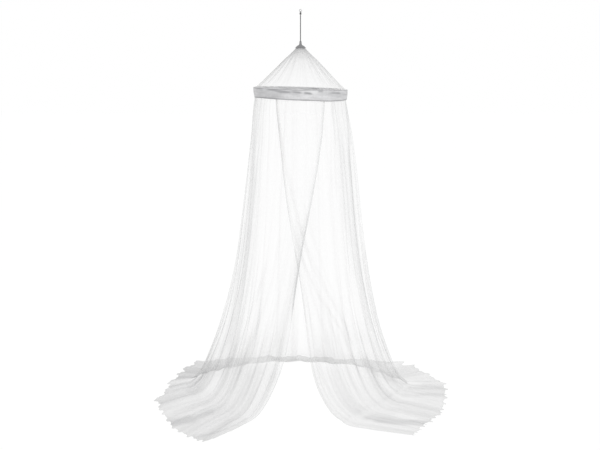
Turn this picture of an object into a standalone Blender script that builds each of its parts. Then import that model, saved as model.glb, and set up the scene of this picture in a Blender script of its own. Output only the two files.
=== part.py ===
"""Mosquito net canopy with its hoop, hung from a ring on a short cord.

A round hoop, sewn into a grey band, spreads a white net. Above it the net is gathered into a cone under a small
grey cap. Below it one sheet of net is wrapped round the hoop, its two free edges lapped at the front. The edges
part lower down as a doorway, and the foot of the sheet is spread over the floor in two trains.

Frame: metres, +Z up, the doorway faces -Y. The origin is where a ceiling hook carries the ring.
"""

import math

import bpy
import numpy as np
from mathutils import Matrix

# Heights above the floor, in metres.
HANG_HEIGHT = 2.620  # where the ceiling hook carries the ring
APEX_HEIGHT = 2.4165  # the point that the cone's sides run to
BAND_TOP_HEIGHT = 2.125
BAND_HEIGHT = 0.066

# The hoop and its band.
HOOP_RADIUS = 0.3000  # of the rod's centre line
ROD_RADIUS = 0.0030
HOOP_LEAN_DEG = 1.7  # the right side hangs lower
BAND_WALL = 0.0015
BAND_INNER_LEG = 0.034  # how far the band's inside fold comes down
CLEARANCE = 0.0004  # between pieces that touch
SEAM_CLEARANCE = 0.0012  # between the band's inner leg and the net
ROUND_STEPS = 48

# The net.
NET_WALL = 0.0020
SEAM_TUCK = 0.012  # how far the curtain goes up behind the band
LAP_STEP = 0.0050  # the inner flap lies this far inside the rest of the seam
LAP_CALM = 0.6  # how much shallower the folds are where the flaps lie on each other
BEND_REACH = 0.055  # half the length over which the net turns onto the floor
SWAY_REACH = 0.150  # half the length over which the net turns sideways
FLAP_BEND_REACH = 0.130  # the same for the two flaps, which slide out onto the floor
FLAP_SWAY_REACH = 0.300
LINE_STEP = 0.005  # spacing of the points that a rib is worked out with

# Stations along the sheet, from the left flap's free edge round the back to the right flap's free edge:
# the bearing on the hoop, counted from the front towards +X, then where the net meets the floor, then its hem.
STATIONS = (
    # hoop_deg, foot_x, foot_y, hem_x, hem_y
    (32, -0.270, -0.355, -0.44, -0.56),
    (6, -0.36, -0.26, -0.59, -0.68),
    (-20, -0.46, -0.13, -0.75, -0.57),
    (-44, -0.575, 0.00, -0.89, -0.34),
    (-67, -0.69, 0.13, -0.96, -0.09),
    (-89, -0.75, 0.27, -0.93, 0.18),
    (-111, -0.66, 0.36, -0.87, 0.43),
    (-134, -0.50, 0.46, -0.74, 0.62),
    (-157, -0.27, 0.55, -0.37, 0.70),
    (-180, -0.03, 0.56, -0.03, 0.715),
    (-203, 0.22, 0.53, 0.28, 0.67),
    (-226, 0.45, 0.47, 0.67, 0.61),
    (-249, 0.628, 0.28, 0.89, 0.45),
    (-271, 0.722, 0.20, 1.02, 0.18),
    (-293, 0.67, 0.12, 1.00, -0.03),
    (-316, 0.56, -0.04, 0.94, -0.25),
    (-340, 0.44, -0.19, 0.825, -0.42),
    (-366, 0.32, -0.32, 0.76, -0.51),
    (-392, 0.215, -0.475, 0.70, -0.615),
)

# How far a rib has drifted from the hoop to its foot by each share of the drop, on the two free edges and the two
# sides. DRIFT_STATIONS says at which station each of the columns starts and ends.
DRIFT = (
    # drop, left_edge, left_side, right_side, right_edge
    (0.00, 0.000, 0.000, 0.000, 0.000),
    (0.02, 0.000, 0.000, 0.000, 0.000),
    (0.20, 0.115, 0.080, 0.145, 0.070),
    (0.33, 0.235, 0.150, 0.200, 0.160),
    (0.48, 0.360, 0.240, 0.285, 0.310),
    (0.58, 0.438, 0.318, 0.350, 0.455),
    (0.66, 0.465, 0.405, 0.420, 0.500),
    (0.80, 0.555, 0.600, 0.578, 0.510),
    (0.90, 0.690, 0.795, 0.788, 0.640),
    (1.00, 1.000, 1.000, 1.000, 1.000),
)
DRIFT_STATIONS = ((0.0, 0.0), (2.6, 7.0), (11.0, 15.4), (18.0, 18.0))

# Ridges of the main folds: the station that each follows, its height against FOLD_DEPTH, and how far it pushes
# the hem out, in metres.
RIDGES = (
    # station, height, reach
    (0.20, 0.35, 0.000),
    (0.85, 0.90, 0.020),
    (1.50, 0.60, 0.000),
    (2.35, 1.20, 0.015),
    (3.00, 0.70, 0.000),
    (3.55, 0.90, 0.020),
    (4.05, 1.00, 0.060),
    (4.70, 0.70, 0.000),
    (5.10, 1.00, 0.035),
    (5.75, 0.80, 0.010),
    (6.20, 1.00, 0.028),
    (6.80, 0.90, 0.035),
    (7.60, 0.80, 0.010),
    (8.30, 1.00, 0.015),
    (9.05, 0.80, 0.010),
    (9.70, 1.00, 0.015),
    (10.50, 0.90, 0.010),
    (11.25, 0.80, 0.055),
    (11.70, 1.00, 0.030),
    (12.40, 0.70, 0.000),
    (12.95, 1.00, 0.020),
    (13.45, 0.80, 0.010),
    (14.05, 0.90, 0.010),
    (14.60, 0.70, 0.005),
    (15.30, 1.00, 0.015),
    (16.00, 0.70, 0.020),
    (16.70, 1.00, 0.010),
    (17.35, 0.70, 0.015),
    (17.80, 0.50, 0.000),
)

# Depth of the main folds down a rib. A place from 0 to 1 is a share of the hanging length, and from 1 to 2 a share
# of the length on the floor.
FOLD_DEPTH = (
    # place, depth
    (0.00, 0.000),
    (0.02, 0.000),
    (0.08, 0.005),
    (0.30, 0.013),
    (0.70, 0.022),
    (0.86, 0.020),
    (0.95, 0.015),
    (1.15, 0.008),
    (1.60, 0.008),
    (2.00, 0.008),
)

# How the flaps keep clear of each other down a rib: how far the outer one stands out and the inner one lies in.
LAP = (
    # place, outer_out, inner_in
    (0.00, 0.000, 0.000),
    (0.02, 0.000, 0.000),
    (0.08, 0.012, 0.008),
    (0.20, 0.028, 0.016),
    (0.40, 0.034, 0.020),
    (0.55, 0.030, 0.018),
    (0.72, 0.008, 0.006),
    (0.90, 0.000, 0.000),
)
ROW_PLACES = (0, 0.015, 0.06, 0.15, 0.27, 0.40, 0.53, 0.66, 0.78, 0.88, 0.95, 0.985, 1.06, 1.22, 1.48, 1.74, 2)

# The crown, the cone of net above the hoop.
CROWN_PLEATS = 22
CROWN_SHIFT_DEG = 3.5  # how far a pleat lies from its even place
CROWN_DEPTH = 0.005
CROWN_TOP_RADIUS = 0.0095
CROWN_TUCK = 0.016  # how far its foot goes down behind the band
KNEE_RADIUS = 0.034  # inside this the cone draws in towards the cap's neck
KNEE_FALL = 0.67
CROWN_ROWS = (0, 0, 0.08, 0.28, 0.55, 0.8, 0.914, 1)  # from the seam's edge to the gathers

# The cap over the gathers, and what it hangs by.
CAP_SKIRT_RADIUS = 0.034
CAP_NECK_RADIUS = 0.0070
CAP_NECK_HEIGHT = 0.010
CAP_WALL = 0.0015
CORD_RADIUS = 0.0030
RING_RADIUS = 0.0075  # of the wire's centre line
RING_WIRE_RADIUS = 0.0015
LOOP_RADIUS = 0.0050
LOOP_CORD_RADIUS = 0.00175
KNOT_RADIUS = 0.0062
KNOT_HEIGHT = 0.0140

FLOOR_Z = -HANG_HEIGHT
APEX_Z = FLOOR_Z + APEX_HEIGHT
BAND_TOP_Z = FLOOR_Z + BAND_TOP_HEIGHT
HOOP_Z = BAND_TOP_Z - BAND_WALL - CLEARANCE - ROD_RADIUS
INNER_LEG_RADIUS = HOOP_RADIUS - ROD_RADIUS - CLEARANCE - BAND_WALL
SEAM_RADIUS = INNER_LEG_RADIUS - SEAM_CLEARANCE - NET_WALL / 2
CURTAIN_TOP_Z = BAND_TOP_Z - BAND_INNER_LEG + SEAM_TUCK

COLLECTION = "mosquito_net_canopy"


# ---------------------------------------------------------------- scene and materials


def clear_scene():
    for obj in list(bpy.data.objects):
        bpy.data.objects.remove(obj, do_unlink=True)


def material(name, color, roughness, metallic=0.0):
    made = bpy.data.materials.new(name)
    made.use_nodes = True
    shader = made.node_tree.nodes["Principled BSDF"]
    shader.inputs["Base Color"].default_value = (*color, 1.0)
    shader.inputs["Roughness"].default_value = roughness
    shader.inputs["Metallic"].default_value = metallic
    return made


def link(obj, finish):
    """Puts the object in the canopy's collection, with its material."""
    for held_in in list(obj.users_collection):
        held_in.objects.unlink(obj)
    bpy.data.collections[COLLECTION].objects.link(obj)
    obj.data.materials.clear()
    obj.data.materials.append(finish)
    return obj


# ---------------------------------------------------------------- lines and surfaces


def through(rows, at):
    """A smooth curve through rows that stand at 0, 1, 2 and so on, read at these places."""
    rows = np.asarray(rows, float)
    at = np.clip(np.asarray(at, float), 0, len(rows) - 1)
    left = np.minimum(at.astype(int), len(rows) - 2)
    part = (at - left)[:, None]
    padded = np.vstack([2 * rows[0] - rows[1], rows, 2 * rows[-1] - rows[-2]])
    a, b, c, d = (padded[left + k] for k in range(4))
    return 0.5 * (
        2 * b + (c - a) * part + (2 * a - 5 * b + 4 * c - d) * part**2 + (3 * b - a - 3 * c + d) * part**3
    )


def column(table, at, name_index):
    """One column of a table, read between its rows."""
    table = np.asarray(table, float)
    return np.interp(at, table[:, 0], table[:, name_index])


def ramp(value, low, high):
    """0 below low, 1 above high and a soft rise between."""
    share = np.clip((np.asarray(value, float) - low) / (high - low), 0, 1)
    return share * share * (3 - 2 * share)


def resampled(line, step):
    """The line again with even spacing, and how far along it each point is."""
    along = np.concatenate([[0], np.cumsum(np.linalg.norm(np.diff(line, axis=0), axis=1))])
    at = np.linspace(0, along[-1], int(along[-1] / step) + 2)
    return np.stack([np.interp(at, along, line[:, k]) for k in range(3)], axis=1), at


def softened(values, count):
    """Moving average over count points each way, with the two ends kept."""
    index = np.arange(len(values))
    half = np.minimum(np.minimum(index, len(values) - 1 - index), count)
    total = np.concatenate([[0], np.cumsum(values)])
    return (total[index + half + 1] - total[index - half]) / (2 * half + 1)


def lean(points, share):
    """Turns points about the hoop's centre by a share of the angle that the hoop leans."""
    points = np.array(points, float)
    turn = math.radians(HOOP_LEAN_DEG) * share
    x, z = points[..., 0].copy(), points[..., 2] - HOOP_Z
    points[..., 0] = x * np.cos(turn) + z * np.sin(turn)
    points[..., 2] = HOOP_Z + z * np.cos(turn) - x * np.sin(turn)
    return points


def outward(grid):
    """Unit normals of the curtain's grid of points, which point away from the canopy's inside."""
    across = np.gradient(grid, axis=0)
    normals = np.cross(across, np.gradient(grid, axis=1))
    normals /= np.linalg.norm(normals, axis=2, keepdims=True)
    return normals


def sheet_mesh(name, grid, around, wall):
    """A mesh over a grid of points, made a sheet of that thickness by Solidify."""
    columns, rows = grid.shape[:2]
    faces = []
    for i in range(columns if around else columns - 1):
        for j in range(rows - 1):
            k = (i + 1) % columns
            faces.append((i * rows + j, i * rows + j + 1, k * rows + j + 1, k * rows + j))
    mesh = bpy.data.meshes.new(name)
    mesh.from_pydata([tuple(p) for p in grid.reshape(-1, 3)], [], faces)
    mesh.update()
    obj = bpy.data.objects.new(name, mesh)
    bpy.context.scene.collection.objects.link(obj)
    solid = obj.modifiers.new("wall", "SOLIDIFY")
    solid.thickness = wall
    solid.offset = 0
    mesh.shade_smooth()
    return obj


# ---------------------------------------------------------------- the curtain


def ridge_wave(stations, name_index):
    """Height or reach of the main folds at these stations: 1 to 2 on a ridge's own line, nothing in the valleys."""
    table = np.asarray(RIDGES, float)
    places = table[:, 0]
    left = np.clip(np.searchsorted(places, stations, side="right") - 1, 0, len(places) - 2)
    share = (stations - places[left]) / (places[left + 1] - places[left])
    nearest = np.where(share < 0.5, left, left + 1)
    return 0.5 * (1 + np.cos(2 * math.pi * share)) * table[nearest, name_index]


def ridge_stations():
    """The stations of the curtain's columns: each ridge, the valleys between, the flanks and the free edges."""
    places = [row[0] for row in RIDGES]
    found = [0.0]
    for low, high in zip(places, places[1:]):
        found += [low + (high - low) * share for share in (0, 0.25, 0.5, 0.75)]
    return np.array(found + [places[-1], len(STATIONS) - 1.0])


def drifted(station, drop):
    """How far the rib at a station has drifted at each share of the drop."""
    places = [place for span in DRIFT_STATIONS for place in span]
    columns = [k + 1 for k in range(len(DRIFT_STATIONS)) for _ in range(2)]
    left = max(k for k in range(len(places) - 1) if places[k] <= station)
    share = float(ramp(station, places[left], places[left + 1])) if places[left + 1] > places[left] else 0.0
    return column(DRIFT, drop, columns[left]) * (1 - share) + column(DRIFT, drop, columns[left + 1]) * share


def rib(station, extra):
    """The curtain's line at a station before folding, from seam to hem, and the length of its hanging part."""
    hoop_deg, foot_x, foot_y, hem_x, hem_y = through(STATIONS, [station])[0]
    last = len(STATIONS) - 1
    inner_flap = ramp(station, last - 5.0, last - 2.8)
    radius = SEAM_RADIUS - LAP_STEP * inner_flap
    bearing = math.radians(hoop_deg)
    top = np.array([radius * math.sin(bearing), -radius * math.cos(bearing)])
    foot, hem = np.array([foot_x, foot_y]), np.array([hem_x, hem_y])
    hem = hem + (hem - foot) / np.linalg.norm(hem - foot) * extra
    floor_z = FLOOR_Z + NET_WALL / 2

    drop = np.linspace(0, 1, 40)
    drift = drifted(station, drop)
    hanging = np.column_stack([top + (foot - top) * drift[:, None], CURTAIN_TOP_Z + (floor_z - CURTAIN_TOP_Z) * drop])
    share = np.linspace(0, 1, 12)[1:, None]
    lying = np.hstack([foot + (hem - foot) * share, np.full((11, 1), floor_z)])
    line, along = resampled(np.vstack([hanging, lying]), LINE_STEP)
    hanging_length = np.linalg.norm(np.diff(hanging, axis=0), axis=1).sum()
    share = ramp(min(station, last - station), 2.5, 6.5)
    sway = FLAP_SWAY_REACH + (SWAY_REACH - FLAP_SWAY_REACH) * share
    bend = FLAP_BEND_REACH + (BEND_REACH - FLAP_BEND_REACH) * share
    for axis, reach in ((0, sway), (1, sway), (2, bend)):
        line[:, axis] = softened(line[:, axis], round(reach / LINE_STEP))
    return line, along, hanging_length


def curtain_grid(stations, places):
    """Points of the folded curtain, a column for each station and a row for each place."""
    places = np.asarray(places, float)
    reach = ridge_wave(stations, 2)
    base = np.empty((len(stations), len(places), 3))
    for i, station in enumerate(stations):
        line, along, hanging = rib(station, reach[i])
        at = np.where(places < 1, places * hanging, hanging + (places - 1) * (along[-1] - hanging))
        for axis in range(3):
            base[i, :, axis] = np.interp(at, along, line[:, axis])
    last = len(STATIONS) - 1
    outer_flap = (1 - ramp(stations, 2.8, 5.4))[:, None]
    inner_flap = ramp(stations, last - 5.4, last - 2.8)[:, None]
    calm = 1 - LAP_CALM * (outer_flap + inner_flap) * (1 - ramp(places, 0.5, 0.8))
    depth = ridge_wave(stations, 1)[:, None] * column(FOLD_DEPTH, places, 1) * calm
    lap = outer_flap * column(LAP, places, 1) - inner_flap * column(LAP, places, 2)
    folded = base + outward(base) * (depth + lap)[:, :, None]
    return lean(folded, 1 - ramp(HOOP_Z - folded[..., 2], BAND_HEIGHT + SEAM_TUCK, 0.28))


def add_curtain(finish):
    grid = curtain_grid(ridge_stations(), ROW_PLACES)
    return link(sheet_mesh("net_curtain", grid, around=False, wall=NET_WALL), finish)


# ---------------------------------------------------------------- the crown


def crown_drop(radius):
    """How far below its apex the cone of net lies at this radius."""
    fall = (APEX_Z - BAND_TOP_Z) / SEAM_RADIUS
    return np.where(radius > KNEE_RADIUS, radius * fall, KNEE_RADIUS * fall - (KNEE_RADIUS - radius) * KNEE_FALL)


def crown_columns():
    """The crown's columns, bearing in degrees and height between a valley at 0 and a pleat's ridge at 1."""
    count = CROWN_PLEATS
    ridges = [360 * k / count + CROWN_SHIFT_DEG * math.sin(2.4 * (k % count)) for k in range(count + 1)]
    found = []
    for low, high in zip(ridges, ridges[1:]):
        found += [(low + (high - low) * share, 0.5 + 0.5 * math.cos(2 * math.pi * share)) for share in
                  (0, 0.25, 0.5, 0.75)]
    return found


def add_crown(finish):
    """The cone of net from the seam behind the band to the gathers under the cap."""
    rows = np.array(CROWN_ROWS)
    radii = SEAM_RADIUS + (CROWN_TOP_RADIUS - SEAM_RADIUS) * rows
    depths = CROWN_DEPTH * ramp(rows, 0.03, 0.3) * (1 - ramp(rows, 0.5, 0.86))
    columns = crown_columns()
    tuck = np.where(np.arange(len(rows)) == 0, CROWN_TUCK, 0)
    grid = np.empty((len(columns), len(rows), 3))
    for i, (bearing_deg, ridge) in enumerate(columns):
        bearing = math.radians(bearing_deg)
        sunk = depths * (1 - ridge)
        out = radii - sunk
        height = APEX_Z - crown_drop(radii) - sunk - tuck
        grid[i] = np.column_stack([out * math.sin(bearing), -out * math.cos(bearing), height])
    return link(sheet_mesh("net_crown", lean(grid, 1 - rows), around=True, wall=NET_WALL), finish)


# ---------------------------------------------------------------- turned and bent pieces


def turned(name, profile, steps):
    """A solid of revolution about Z from a closed profile of (radius, z), or one that starts and ends on the axis."""
    mesh = bpy.data.meshes.new(name)
    on_axis = profile[0][0] == 0
    edges = [(k, k + 1) for k in range(len(profile) - 1)]
    if not on_axis:
        edges.append((len(profile) - 1, 0))
    mesh.from_pydata([(radius, 0, z) for radius, z in profile], edges, [])
    obj = bpy.data.objects.new(name, mesh)
    bpy.context.scene.collection.objects.link(obj)
    screw = obj.modifiers.new("turn", "SCREW")
    screw.steps = steps
    screw.render_steps = steps
    screw.use_merge_vertices = True
    screw.merge_threshold = 0.00001
    screw.use_smooth_shade = True
    return obj


def add_band(finish):
    """The grey strip, folded over the hoop: its outer leg is the band that shows, its inner leg holds the seam."""
    outer = HOOP_RADIUS + ROD_RADIUS + CLEARANCE
    inner = INNER_LEG_RADIUS
    middle = BAND_HEIGHT * 0.45
    bow = 0.0008
    profile = [
        (outer + BAND_WALL, -0.003),
        (outer + BAND_WALL + bow, -middle),
        (outer + BAND_WALL, -BAND_HEIGHT),
        (outer, -BAND_HEIGHT),
        (outer + bow, -middle),
        (outer, -BAND_WALL),
        (inner + BAND_WALL, -BAND_WALL),
        (inner + BAND_WALL, -BAND_INNER_LEG),
        (inner, -BAND_INNER_LEG),
        (inner, -0.003),
        (inner + 0.002, 0),
        (outer + BAND_WALL - 0.002, 0),
    ]
    obj = turned("band", [(r, z + BAND_TOP_Z - HOOP_Z) for r, z in profile], ROUND_STEPS)
    obj.location = (0, 0, HOOP_Z)
    obj.rotation_euler = (0, math.radians(HOOP_LEAN_DEG), 0)
    return link(obj, finish)


def add_torus(name, radius, thickness_radius, steps, sides):
    bpy.ops.mesh.primitive_torus_add(
        major_radius=radius, minor_radius=thickness_radius, major_segments=steps, minor_segments=sides
    )
    obj = bpy.context.object
    obj.name = name
    obj.data.name = name
    obj.data.shade_smooth()
    return obj


def add_hoop(finish):
    obj = add_torus("hoop", HOOP_RADIUS, ROD_RADIUS, ROUND_STEPS, 6)
    obj.location = (0, 0, HOOP_Z)
    obj.rotation_euler = (0, math.radians(HOOP_LEAN_DEG), 0)
    return link(obj, finish)


def over_crown(radius, lift):
    """The height of a point over the crown's slope, clear of the net by the cap's stand-off."""
    fall = (APEX_Z - BAND_TOP_Z) / SEAM_RADIUS
    stand_off = (NET_WALL / 2 + 2 * CLEARANCE) * math.hypot(1, fall)
    return APEX_Z - float(crown_drop(radius)) + stand_off + lift


def add_cap(finish):
    """The small cloth cap that covers the gathers and is bound to the cord at its neck."""
    skirt = CAP_SKIRT_RADIUS
    neck_top = APEX_Z + CAP_NECK_HEIGHT
    under = CROWN_TOP_RADIUS + NET_WALL
    profile = [
        (0, neck_top),
        (CAP_NECK_RADIUS - 0.002, neck_top),
        (CAP_NECK_RADIUS, neck_top - 0.002),
        (CAP_NECK_RADIUS, neck_top - 0.013),
        (CAP_NECK_RADIUS + 0.0013, neck_top - 0.020),
        (0.0112, over_crown(0.0112, CAP_WALL * 1.3)),
        (skirt, over_crown(skirt, CAP_WALL * 1.3)),
        (skirt - 0.0006, over_crown(skirt - 0.0006, 0)),
        (under, over_crown(under, 0)),
        (0, over_crown(under, 0)),
    ]
    return link(turned("cap", profile, 24), finish)


def add_cord(finish):
    """The hanging cord, taut between the cap's neck and the knot below the ring."""
    low = APEX_Z + CAP_NECK_HEIGHT + CLEARANCE
    high = knot_z() - KNOT_HEIGHT / 2 - CLEARANCE
    curve = bpy.data.curves.new("hanging_cord", "CURVE")
    curve.dimensions = "3D"
    curve.bevel_depth = CORD_RADIUS
    curve.bevel_resolution = 3
    curve.use_fill_caps = True
    spline = curve.splines.new("POLY")
    count = 10
    spline.points.add(count - 1)
    for k, point in enumerate(spline.points):
        point.co = (0, 0, low + (high - low) * k / (count - 1), 1)
    obj = bpy.data.objects.new("hanging_cord", curve)
    bpy.context.scene.collection.objects.link(obj)
    return link(obj, finish)


def ring_z():
    """Height of the ring's centre: the hook bears on the underside of its top."""
    return -(RING_RADIUS - RING_WIRE_RADIUS)


def loop_z():
    """Height of the cord loop's centre: it hangs on the ring's lowest wire."""
    wire_top = ring_z() - RING_RADIUS + RING_WIRE_RADIUS
    return wire_top + CLEARANCE - (LOOP_RADIUS - LOOP_CORD_RADIUS)


def knot_z():
    return loop_z() - LOOP_RADIUS - KNOT_HEIGHT / 2 + 0.003


def add_ring(finish):
    obj = add_torus("hanging_ring", RING_RADIUS, RING_WIRE_RADIUS, 24, 8)
    obj.location = (0, 0, ring_z())
    obj.rotation_euler = (math.pi / 2, 0, 0)
    return link(obj, finish)


def add_knot(finish):
    """The cord's end: a small loop through the ring and the knot that closes it, one piece."""
    loop = add_torus("loop_shape", LOOP_RADIUS, LOOP_CORD_RADIUS, 16, 8)
    loop.matrix_world = Matrix.Translation((0, 0, loop_z())) @ Matrix.Rotation(math.pi / 2, 4, "Y")
    loop.hide_render = True
    loop.display_type = "WIRE"
    bpy.ops.mesh.primitive_uv_sphere_add(segments=12, ring_count=8, radius=1)
    knot = bpy.context.object
    knot.name = "cord_knot"
    knot.data.name = "cord_knot"
    knot.data.transform(Matrix.Diagonal((KNOT_RADIUS, KNOT_RADIUS, KNOT_HEIGHT / 2, 1)))
    knot.location = (0, 0, knot_z())
    knot.data.shade_smooth()
    join = knot.modifiers.new("loop", "BOOLEAN")
    join.operation = "UNION"
    join.object = loop
    return link(knot, finish)


def main():
    clear_scene()
    collection = bpy.data.collections.new(COLLECTION)
    bpy.context.scene.collection.children.link(collection)
    net = material("net_white", (0.86, 0.86, 0.86), 0.75)
    satin = material("satin_grey", (0.52, 0.52, 0.52), 0.45)
    cap_cloth = material("cap_grey", (0.20, 0.20, 0.20), 0.60)
    rod = material("rod_white", (0.75, 0.75, 0.73), 0.45)
    cord = material("cord_grey", (0.22, 0.22, 0.22), 0.80)
    steel = material("steel", (0.55, 0.55, 0.56), 0.30, 1.0)
    add_curtain(net)
    add_crown(net)
    add_band(satin)
    add_hoop(rod)
    add_cap(cap_cloth)
    add_cord(cord)
    add_ring(steel)
    add_knot(cord)


main()
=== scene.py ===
"""Looks of the mosquito net canopy: fine sheets of net, the satin band, the cap, the cord and the ring."""

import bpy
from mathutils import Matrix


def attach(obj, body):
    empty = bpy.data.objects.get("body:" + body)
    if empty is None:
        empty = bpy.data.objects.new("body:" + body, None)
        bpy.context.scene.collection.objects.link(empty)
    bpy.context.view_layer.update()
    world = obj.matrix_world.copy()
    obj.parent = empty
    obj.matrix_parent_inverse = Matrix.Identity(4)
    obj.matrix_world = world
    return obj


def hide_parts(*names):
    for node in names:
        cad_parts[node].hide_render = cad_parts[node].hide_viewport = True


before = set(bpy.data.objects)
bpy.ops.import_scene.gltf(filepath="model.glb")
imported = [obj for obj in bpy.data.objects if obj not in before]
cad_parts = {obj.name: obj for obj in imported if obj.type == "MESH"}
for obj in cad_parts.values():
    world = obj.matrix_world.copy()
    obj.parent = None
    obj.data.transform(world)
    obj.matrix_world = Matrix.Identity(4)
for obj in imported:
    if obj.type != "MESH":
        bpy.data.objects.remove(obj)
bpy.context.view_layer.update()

import math

import bmesh
import bpy
import numpy as np
from mathutils import Vector

# Heights above the floor, and the sizes that the solids are built from, in metres.
HANG_HEIGHT = 2.620
APEX_HEIGHT = 2.4165
BAND_TOP_HEIGHT = 2.125
BAND_HEIGHT = 0.066
HOOP_RADIUS = 0.3000
ROD_RADIUS = 0.0030
HOOP_LEAN_DEG = 1.7
BAND_WALL = 0.0015
BAND_INNER_LEG = 0.034
CLEARANCE = 0.0004
SEAM_CLEARANCE = 0.0012
NET_WALL = 0.0020
SEAM_TUCK = 0.012
LAP_STEP = 0.0050
LAP_CALM = 0.6
LYING_CALM = 0.55
BEND_REACH = 0.055
SWAY_REACH = 0.150  # of the back and the sides
FLAP_SWAY_REACH = 0.300
FLAP_BEND_REACH = 0.130
LINE_STEP = 0.005
CROWN_TOP_RADIUS = 0.0095
CROWN_TUCK = 0.016
KNEE_RADIUS = 0.034
KNEE_FALL = 0.67
CAP_NECK_HEIGHT = 0.010
CORD_RADIUS = 0.0030
RING_RADIUS = 0.0075
RING_WIRE_RADIUS = 0.0015
LOOP_RADIUS = 0.0050
LOOP_CORD_RADIUS = 0.00175
KNOT_HEIGHT = 0.0140

FLOOR_Z = -HANG_HEIGHT
APEX_Z = FLOOR_Z + APEX_HEIGHT
BAND_TOP_Z = FLOOR_Z + BAND_TOP_HEIGHT
HOOP_Z = BAND_TOP_Z - BAND_WALL - CLEARANCE - ROD_RADIUS
INNER_LEG_RADIUS = HOOP_RADIUS - ROD_RADIUS - CLEARANCE - BAND_WALL
SEAM_RADIUS = INNER_LEG_RADIUS - SEAM_CLEARANCE - NET_WALL / 2
CURTAIN_TOP_Z = BAND_TOP_Z - BAND_INNER_LEG + SEAM_TUCK
CROWN_FALL = (APEX_Z - BAND_TOP_Z) / SEAM_RADIUS

# The camera stands 5.2 m in front of the cord's line and 2.3 m above the floor.
CAMERA_AT = (0.0, -5.2, 2.30 - HANG_HEIGHT)
CAMERA_TILT_DEG = 11.72
CAMERA_LENS = 47.4165

STATIONS = (
    # hoop_deg, foot_x, foot_y, hem_x, hem_y
    (32, -0.270, -0.355, -0.44, -0.56),
    (6, -0.36, -0.26, -0.59, -0.68),
    (-20, -0.46, -0.13, -0.75, -0.57),
    (-44, -0.575, 0.00, -0.89, -0.34),
    (-67, -0.69, 0.13, -0.96, -0.09),
    (-89, -0.75, 0.27, -0.93, 0.18),
    (-111, -0.66, 0.36, -0.87, 0.43),
    (-134, -0.50, 0.46, -0.74, 0.62),
    (-157, -0.27, 0.55, -0.37, 0.70),
    (-180, -0.03, 0.56, -0.03, 0.715),
    (-203, 0.22, 0.53, 0.28, 0.67),
    (-226, 0.45, 0.47, 0.67, 0.61),
    (-249, 0.628, 0.28, 0.89, 0.45),
    (-271, 0.722, 0.20, 1.02, 0.18),
    (-293, 0.67, 0.12, 1.00, -0.03),
    (-316, 0.56, -0.04, 0.94, -0.25),
    (-340, 0.44, -0.19, 0.825, -0.42),
    (-366, 0.32, -0.32, 0.76, -0.51),
    (-392, 0.215, -0.475, 0.70, -0.615),
)
DRIFT = (
    # drop, left_edge, left_side, right_side, right_edge
    (0.00, 0.000, 0.000, 0.000, 0.000),
    (0.02, 0.000, 0.000, 0.000, 0.000),
    (0.20, 0.115, 0.080, 0.145, 0.070),
    (0.33, 0.235, 0.150, 0.200, 0.160),
    (0.48, 0.360, 0.240, 0.285, 0.310),
    (0.58, 0.438, 0.318, 0.350, 0.455),
    (0.66, 0.465, 0.405, 0.420, 0.500),
    (0.80, 0.555, 0.600, 0.578, 0.510),
    (0.90, 0.690, 0.795, 0.788, 0.640),
    (1.00, 1.000, 1.000, 1.000, 1.000),
)
DRIFT_STATIONS = ((0.0, 0.0), (2.6, 7.0), (11.0, 15.4), (18.0, 18.0))
RIDGES = (
    # station, height, reach
    (0.20, 0.35, 0.000),
    (0.85, 0.90, 0.020),
    (1.50, 0.60, 0.000),
    (2.35, 1.20, 0.015),
    (3.00, 0.70, 0.000),
    (3.55, 0.90, 0.020),
    (4.05, 1.00, 0.060),
    (4.70, 0.70, 0.000),
    (5.10, 1.00, 0.035),
    (5.75, 0.80, 0.010),
    (6.20, 1.00, 0.028),
    (6.80, 0.90, 0.035),
    (7.60, 0.80, 0.010),
    (8.30, 1.00, 0.015),
    (9.05, 0.80, 0.010),
    (9.70, 1.00, 0.015),
    (10.50, 0.90, 0.010),
    (11.25, 0.80, 0.055),
    (11.70, 1.00, 0.030),
    (12.40, 0.70, 0.000),
    (12.95, 1.00, 0.020),
    (13.45, 0.80, 0.010),
    (14.05, 0.90, 0.010),
    (14.60, 0.70, 0.005),
    (15.30, 1.00, 0.015),
    (16.00, 0.70, 0.020),
    (16.70, 1.00, 0.010),
    (17.35, 0.70, 0.015),
    (17.80, 0.50, 0.000),
)
FOLD_DEPTH = (
    # place, depth
    (0.00, 0.000),
    (0.02, 0.000),
    (0.08, 0.005),
    (0.30, 0.013),
    (0.70, 0.022),
    (0.86, 0.020),
    (0.95, 0.015),
    (1.15, 0.008),
    (1.60, 0.008),
    (2.00, 0.008),
)
LAP = (
    # place, outer_out, inner_in
    (0.00, 0.000, 0.000),
    (0.02, 0.000, 0.000),
    (0.08, 0.012, 0.008),
    (0.20, 0.028, 0.016),
    (0.40, 0.034, 0.020),
    (0.55, 0.030, 0.018),
    (0.72, 0.008, 0.006),
    (0.90, 0.000, 0.000),
)

# How closely the net lies down the curtain: the share of light that one layer stops, on the back, the sides
# and the two flaps, and how deep its small pleats are.
CLOSENESS = (
    # place, back, sides, flaps, pleat_depth
    (0.00, 0.080, 0.075, 0.075, 0.0005),
    (0.04, 0.052, 0.050, 0.046, 0.0018),
    (0.20, 0.034, 0.038, 0.030, 0.0028),
    (0.50, 0.034, 0.040, 0.034, 0.0040),
    (0.65, 0.042, 0.048, 0.052, 0.0048),
    (0.72, 0.050, 0.056, 0.085, 0.0050),
    (0.80, 0.062, 0.068, 0.200, 0.0048),
    (0.86, 0.087, 0.087, 0.430, 0.0040),
    (0.93, 0.165, 0.150, 0.500, 0.0032),
    (0.98, 0.280, 0.240, 0.560, 0.0026),
    (1.03, 0.380, 0.370, 0.600, 0.0018),
    (1.12, 0.340, 0.430, 0.620, 0.0015),
    (1.40, 0.330, 0.530, 0.640, 0.0014),
    (2.00, 0.400, 0.600, 0.680, 0.0014),
)

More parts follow.
